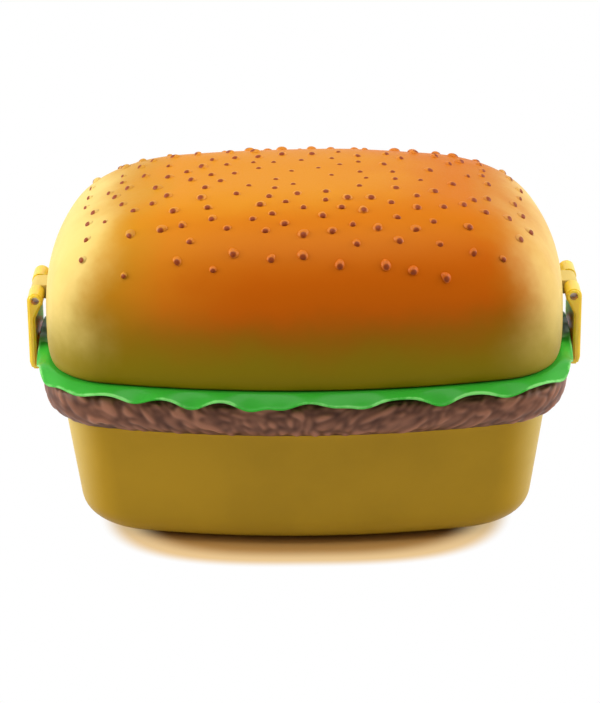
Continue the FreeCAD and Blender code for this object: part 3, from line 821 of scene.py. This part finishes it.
def partition_mesh(plan, shells):
    """Low wall across the basin that parts it in two."""
    half_thick, sunk, end_room, edge_round = 0.8 * MM, 0.8 * MM, 2.8 * MM, 0.5 * MM
    half_long = plan.half_width - shells.base_inset - shells.base_wall - end_room
    low, high = BASIN_Z + sunk, TRAY_Z
    shape = bmesh.new()
    bmesh.ops.create_cube(shape, size=1)
    size = Matrix.Diagonal((2 * half_thick, 2 * half_long, high - low, 1))
    shape.transform(Matrix.Translation((0, 0, (low + high) / 2)) @ size)
    upper = [edge for edge in shape.edges if all(vert.co.z > low + MM for vert in edge.verts)]
    bmesh.ops.bevel(shape, geom=upper, offset=edge_round, segments=3, affect="EDGES")
    return shaped_mesh("tray_partition", shape)


class LUNCHBOX_OT_leaf_tray(bpy.types.Operator):
    """Green tray: food basin, collar for the lid and ruffled leaf edge"""

    bl_idname = "lunchbox.leaf_tray"
    bl_label = "Leaf Tray"

    def execute(self, context):
        plan, shells, colours = scene_settings(context)
        leaf = leaf_material(colours)
        outline = PlanOutline(plan, LEAF_STEP)
        share = outline.drip_share()
        rings, rims = tray_rings(outline, shells, share)
        # Painted highlight along the edge: full where the leaf lifts behind a clip, weaker at the drip tips
        lift_gain, drip_loss = 2, 0.45
        lifted = np.clip(-lift_gain * share, 0, 1)
        arched = 1 - drip_loss * np.clip(share, 0, 1)
        rim_highlight = [np.maximum(level, lifted) * arched * (level > 0) for level in rims]
        mesh = ring_mesh("leaf_tray", rings, rim=np.concatenate(rim_highlight + [(0, 0)]))
        tray = new_piece("leaf_tray", mesh, "tray", leaf)
        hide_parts("lettuce_tray")
        new_piece("tray_partition", partition_mesh(plan, shells), "tray", leaf)
        return {"FINISHED"}


def band_section():
    """Outer section of the band from foot to top: grow, height, and the outward direction there."""
    bulge, waist, foot, top = 2 * MM, 8 * MM, 3.4 * MM, 0.5 * MM
    lower_steps, upper_steps = 25, 14
    upper = RIM_Z - PATTY_Z - waist
    section = []
    for step in range(-lower_steps, upper_steps + 1):
        steps, inset, tall = (lower_steps, foot, waist) if step < 0 else (upper_steps, top, upper)
        turn = math.radians(90 * step / steps)
        out, up = math.cos(turn), math.sin(turn)
        section.append((bulge - (bulge + inset) * (1 - out), PATTY_Z + waist + tall * up, out, up))
    return section


def band_rings(outline, base_inset):
    """Rings round the band's section, the outer ones pushed in and out by the wrinkles."""
    depth, middle, blurs = 1 * MM, 0.75, 2
    calm_foot, calm_top, inner_gap, inner_wrinkle = 9, 3, 0.15 * MM, 0.6
    section = band_section()
    relief = np.array([wrinkle_heights(outline, height) for _, height, _, _ in section])
    for _ in range(blurs):
        relief = (np.roll(relief, 1, axis=1) + 2 * relief + np.roll(relief, -1, axis=1)) / 4
        framed = np.pad(relief, ((1, 1), (0, 0)), mode="edge")
        relief = (framed[:-2] + 2 * relief + framed[2:]) / 4
    rings = []
    wrinkles = []
    last = len(section) - 1
    for index, (grow, height, out, up) in enumerate(section):
        ring = outline.ring(grow, height)
        calm = min(1.0, index / calm_foot, (last - index) / calm_top)
        lift = relief[index] * calm
        push = depth * (lift - middle * calm)
        ring[:, :2] += outline.outwards * (out * push)[:, None]
        ring[:, 2] += up * push
        rings.append(ring)
        wrinkles.append(lift)
    for height in (RIM_Z, PATTY_Z):
        rings.append(outline.ring(inner_gap - base_inset, height))
        wrinkles.append(np.full(len(outline.points), inner_wrinkle))
    flatten_behind_clips(rings)
    return rings, wrinkles


def flatten_behind_clips(rings):
    """Hold the rings in behind the clips: out to the catch, and below it further in."""
    side_room, undercut = 1.5 * MM, 1.6 * MM
    for ring in rings:
        behind_clip = np.abs(ring[:, 1]) < CLIP_HALF_WIDTH + side_room
        limit = np.where(ring[:, 2] < CATCH_Z, CATCH_X - undercut, CATCH_X)
        flat = np.clip(ring[:, 0], -limit, limit)
        ring[:, 0] = np.where(behind_clip, flat, ring[:, 0])


def wrinkle_heights(outline, height):
    """Height of the wrinkles round a ring, 0 in a fold and 1 on a ridge: slanting folds that wander."""
    slant, slant_from = 1.1, 22 * MM
    wander_size, fold_width, fold_height, grain_width, grain_height = 8, 2.1, 3.4, 1.2, 2
    wander_gain, grain_shift, fold_sharpness = 1.4, 7, 3.2
    plain, fold_depth, broad_depth, grain_depth = 0.76, 0.6, 0.35, 0.16
    lean = slant * np.tanh(outline.points[:, 0] / slant_from) * (height - PATTY_Z)
    steps = np.append(outline.from_start, outline.total)
    along = (outline.from_start - lean) % outline.total
    loop = np.vstack((outline.points, outline.points[:1]))
    across = np.interp(along, steps, loop[:, 0]) / MM
    deep = np.interp(along, steps, loop[:, 1]) / MM
    up = (height - PATTY_Z) / MM
    lift = np.empty(len(across))
    for index, (x, y) in enumerate(zip(across, deep)):
        wander = noise.noise(Vector((x, y, up)) / wander_size)
        broad = noise.noise(Vector((
            x / fold_width + wander_gain * wander, y / fold_width, up / fold_height + wander)))
        grain = noise.noise(Vector((x / grain_width + grain_shift, y / grain_width, up / grain_height)))
        fold = math.exp(-(fold_sharpness * broad) ** 2)
        lift[index] = plain - fold_depth * fold + broad_depth * broad + grain_depth * grain
    return np.clip(lift, 0, 1)


class LUNCHBOX_OT_patty_band(bpy.types.Operator):
    """Wrinkled patty band round the container's rim"""

    bl_idname = "lunchbox.patty_band"
    bl_label = "Patty Band"

    def execute(self, context):
        plan, shells, colours = scene_settings(context)
        rings, wrinkles = band_rings(PlanOutline(plan, BAND_STEP), shells.base_inset)
        crease = math.radians(75)
        mesh = ring_mesh(
            "wrinkled_band", rings, capped=False, crease=crease, wrinkle=np.concatenate(wrinkles))
        band = new_piece("wrinkled_band", mesh, "base", patty_material(colours))
        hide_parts("patty_band")
        return {"FINISHED"}


def base_side(shells, wall):
    """Side at a wall from foot to rim, as (grow, height) pairs, and how far in its rounding starts."""
    round_steps, side_steps = 14, 10
    turn_radius = shells.base_round - wall
    lean = shells.base_lean
    centre = (
        shells.base_inset + (PATTY_Z - shells.base_round) * math.tan(lean)
        + shells.base_round / math.cos(lean)
    )
    run = []
    for step in range(round_steps + 1):
        turn = math.pi / 2 - (math.pi / 2 - lean) * step / round_steps
        height = shells.base_round - turn_radius * math.sin(turn)
        run.append((-(centre - turn_radius * math.cos(turn)), height))
    top = Vector((-shells.base_inset - wall / math.cos(lean), PATTY_Z))
    start = Vector(run[-1])
    run += [tuple(start.lerp(top, step / side_steps)) for step in range(1, side_steps + 1)]
    return run, centre


def base_section(shells):
    """Corner radius, grow and height of each ring, from under the foot, over the rim, to the floor."""
    bead, bead_height, rim, foot_run = 0.7 * MM, 0.8 * MM, -2 * MM, 2 * MM
    foot_round, rim_round, round_steps = 0.4 * MM, 0.35 * MM, 2
    outside, centre = base_side(shells, 0.0)
    inside, _ = base_side(shells, shells.base_wall)
    foot = -(centre + shells.foot_width)
    wall = -shells.base_inset
    under = rounded_profile([
        (foot - foot_run, shells.foot_recess), (foot, shells.foot_recess), (foot, 0.0), outside[0],
    ], foot_round, round_steps)
    over = rounded_profile([
        outside[-2], (wall, PATTY_Z - bead_height), (wall + bead, PATTY_Z - bead_height),
        (wall + bead, PATTY_Z), (wall, PATTY_Z), (wall, RIM_Z), (rim, RIM_Z), (rim, TRAY_Z),
        (wall - shells.base_wall, TRAY_Z), inside[-1],
    ], rim_round, round_steps)
    outer_corner = shells.base_corner
    runs = (
        (outer_corner - shells.foot_width, under[:-1]), (outer_corner, outside[:-1]),
        (outer_corner, over[1:-1]), (outer_corner - shells.base_wall, reversed(inside)),
    )
    return [(corner, grow, height) for corner, run in runs for grow, height in run]


class LUNCHBOX_OT_bottom_bun(bpy.types.Operator):
    """Bottom bun: the lower food container with its foot ring and rim"""

    bl_idname = "lunchbox.bottom_bun"
    bl_label = "Bottom Bun"

    def execute(self, context):
        plan, shells, colours = scene_settings(context)
        outline = PlanOutline(plan, SHELL_STEP)
        mesh = ring_mesh("bottom_shell", [outline.cornered_ring(*level) for level in base_section(shells)])
        shell = new_piece("bottom_shell", mesh, "base", bun_plastic_material(colours, plan))
        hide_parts("bottom_bun")
        return {"FINISHED"}


def eased_clip(node):
    """Copy of a clip with its edges rounded, more along its two sides, and its broad faces flat."""
    rim_round, edge_round, bore_room = 0.55 * MM, 0.3 * MM, 1.6 * MM
    joined, touching, broad = 0.001 * MM, 0.01 * MM, 20 * MM * MM
    source = frame["nodes"][node]
    shape = bmesh.new()
    shape.from_mesh(source.data)
    shape.transform(source.matrix_world)
    bmesh.ops.remove_doubles(shape, verts=shape.verts, dist=joined)
    bmesh.ops.dissolve_limit(shape, angle_limit=math.radians(1), verts=shape.verts, edges=shape.edges)

    def sharp_edges():
        return [edge for edge in shape.edges if edge.is_manifold and edge.calc_face_angle() > CREASE]

    def on_side(vert):
        from_pin = math.hypot(abs(vert.co.x) - HINGE.x, vert.co.z - HINGE.z)
        return abs(vert.co.y) > CLIP_HALF_WIDTH - touching and from_pin > bore_room

    rims = [edge for edge in sharp_edges() if all(on_side(vert) for vert in edge.verts)]
    bmesh.ops.bevel(shape, geom=rims, offset=rim_round, segments=4, affect="EDGES")
    bmesh.ops.bevel(
        shape, geom=sharp_edges(), offset=edge_round, segments=3, affect="EDGES", clamp_overlap=True)
    mesh = shaped_mesh(f"{node}_moulding", shape)
    mesh.polygons.foreach_set("use_smooth", [polygon.area < broad for polygon in mesh.polygons])
    return mesh


class LUNCHBOX_OT_small_parts(bpy.types.Operator):
    """Finishes of the clips, hinge pins and seals"""

    bl_idname = "lunchbox.small_parts"
    bl_label = "Clips, Pins and Seals"

    def execute(self, context):
        colours = context.scene.lunch_box_colours
        finishes = (
            (steel_material(colours), ("right_clip_pin", "left_clip_pin")),
            (silicone_material(colours), ("tray_seal", "lid_seal")),
        )
        for material, nodes in finishes:
            for node in nodes:
                mesh = frame["nodes"][node].data
                mesh.materials.clear()
                mesh.materials.append(material)
                shade_smooth(mesh, math.radians(35))
        clip_yellow = clip_material(colours)
        for node in ("right_clip", "left_clip"):
            clip = new_piece(f"{node}_moulding", eased_clip(node), node, clip_yellow)
            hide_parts(node)
        return {"FINISHED"}


def add_floor():
    """Table that stays white to the camera, with a painted shadow patch round the box.

    Inside the patch the box's real shade shows, tinted warm next to the plastic as a painted bounce.
    """
    half = 4.0
    black, bounce = (0.0, 0.0, 0.0), (0.8, 0.8, 0.8)
    shadow, shadow_edge = (0.55, 0.31, 0.10), (0.54, 0.42, 0.24)
    corners = [(-half, -half, 0), (half, -half, 0), (half, half, 0), (-half, half, 0)]
    mesh = bpy.data.meshes.new("table_top")
    mesh.from_pydata(corners, [], [(0, 1, 2, 3)])
    table = new_object("table_top", mesh)
    material, kit, shader = new_material(
        "white_table", Emission_Strength=1.0, Roughness=0.6, Specular_IOR_Level=0.0)
    seen = kit.seen()
    # Painted shadow: a drawn patch, dark and warm next to the box, clearing to white further out
    clear = kit.ramp(shadow_reach(kit), ((0.28, 0.0), (0.47, shadow_edge), (0.66, 1.0)))
    near = kit.mix(clear, shadow, black)
    kit.set(shader, Base_Color=kit.mix(seen, bounce, near), Emission_Color=kit.mix(seen, black, clear))
    mesh.materials.append(material)


def shadow_reach(kit):
    """How far a place on the table lies from the middle of the painted shadow: 0 there, 0.5 on its outline.
    """
    half_long, half_deep, forward, fullness = 63 * MM, 51 * MM, 6 * MM, 3.0
    place = kit.place()
    across = kit.reach(place["X"], 0.0, half_long)
    deep = kit.reach(place["Y"], -forward, half_deep)
    total = kit.math("ADD", kit.math("POWER", across, fullness), kit.math("POWER", deep, fullness))
    return kit.math("MULTIPLY", total, 0.5)


def add_surround(scene):
    """Even grey surround, white to the camera and in reflections."""
    surround, white = (0.17, 0.17, 0.17), (1.0, 1.0, 1.0)
    scene.world = bpy.data.worlds.new("white_surround")
    scene.world.use_nodes = True
    tree = scene.world.node_tree
    kit = NodeKit(tree)
    kit.set(tree.nodes["Background"], Color=kit.mix(kit.seen(), surround, white), Strength=1.0)


def add_softbox(name, place, size, power):
    """Square area lamp that faces the box."""
    target = Vector((0, 0, 0.06))
    lamp = bpy.data.lights.new(name, "AREA")
    lamp.size = size
    lamp.energy = power
    holder = new_object(name, lamp)
    holder.location = place
    holder.rotation_euler = (target - place).to_track_quat("-Z", "Y").to_euler()


def add_camera(scene):
    """Camera at the photo's place: a long lens, a little above the lid."""
    distance = 0.892
    elevation = math.radians(21.75)
    roll = math.radians(-0.57)
    pivot = Vector((0, 0, 52.1 * MM))
    aim = Vector((-1.6 * MM, 0, 48.8 * MM))
    lens = bpy.data.cameras.new("camera")
    lens.sensor_width = 36
    lens.lens = 138.3
    lens.clip_start = 0.01
    holder = new_object("camera", lens)
    back = Vector((0, -math.cos(elevation), math.sin(elevation)))
    holder.location = pivot + back * distance
    look = (aim - holder.location).to_track_quat("-Z", "Y")
    holder.rotation_mode = "QUATERNION"
    holder.rotation_quaternion = look @ Quaternion((0, 0, 1), roll)
    scene.camera = holder


class LUNCHBOX_OT_stage(bpy.types.Operator):
    """Pale floor, soft studio light and the camera"""

    bl_idname = "lunchbox.stage"
    bl_label = "Stage"

    def execute(self, context):
        scene = context.scene
        scene.view_settings.view_transform = "Standard"
        add_floor()
        add_surround(scene)
        for name, place, size, power in (
            ("left_softbox", (-0.75, -0.04, 0.4), 0.6, 6.7),
            ("right_softbox", (0.75, 0.04, 0.4), 0.6, 5.4),
            ("top_softbox", (0.0, -0.12, 0.95), 0.7, 5.4),
        ):
            add_softbox(name, Vector(place), size, power)
        add_camera(scene)
        return {"FINISHED"}


class LUNCHBOX_PT_panel(bpy.types.Panel):
    """Sidebar list of the lunch box's pieces"""

    bl_label = "Lunch Box"
    bl_idname = "LUNCHBOX_PT_panel"
    bl_space_type = "VIEW_3D"
    bl_region_type = "UI"
    bl_category = "Lunch Box"

    def draw(self, context):
        for operator in OPERATORS:
            self.layout.operator(operator.bl_idname)
        for settings in scene_settings(context):
            for name in settings.bl_rna.properties.keys():
                if name not in {"rna_type", "name"}:
                    self.layout.prop(settings, name)


SETTINGS = {"lunch_box_plan": PlanSizes, "lunch_box_shells": ShellSizes, "lunch_box_colours": FinishColours}
OPERATORS = (
    LUNCHBOX_OT_bun_lid,
    LUNCHBOX_OT_sesame_seeds,
    LUNCHBOX_OT_leaf_tray,
    LUNCHBOX_OT_patty_band,
    LUNCHBOX_OT_bottom_bun,
    LUNCHBOX_OT_small_parts,
    LUNCHBOX_OT_stage,
)


def register():
    for group in (*SETTINGS.values(), *OPERATORS, LUNCHBOX_PT_panel):
        bpy.utils.register_class(group)
    for name, group in SETTINGS.items():
        setattr(bpy.types.Scene, name, bpy.props.PointerProperty(type=group))


def unregister():
    for name in SETTINGS:
        delattr(bpy.types.Scene, name)
    for group in (LUNCHBOX_PT_panel, *reversed(OPERATORS), *SETTINGS.values()):
        bpy.utils.unregister_class(group)


def main():
    register()
    for operator in OPERATORS:
        family, action = operator.bl_idname.split(".")
        getattr(getattr(bpy.ops, family), action)()


if __name__ == "__main__":
    main()
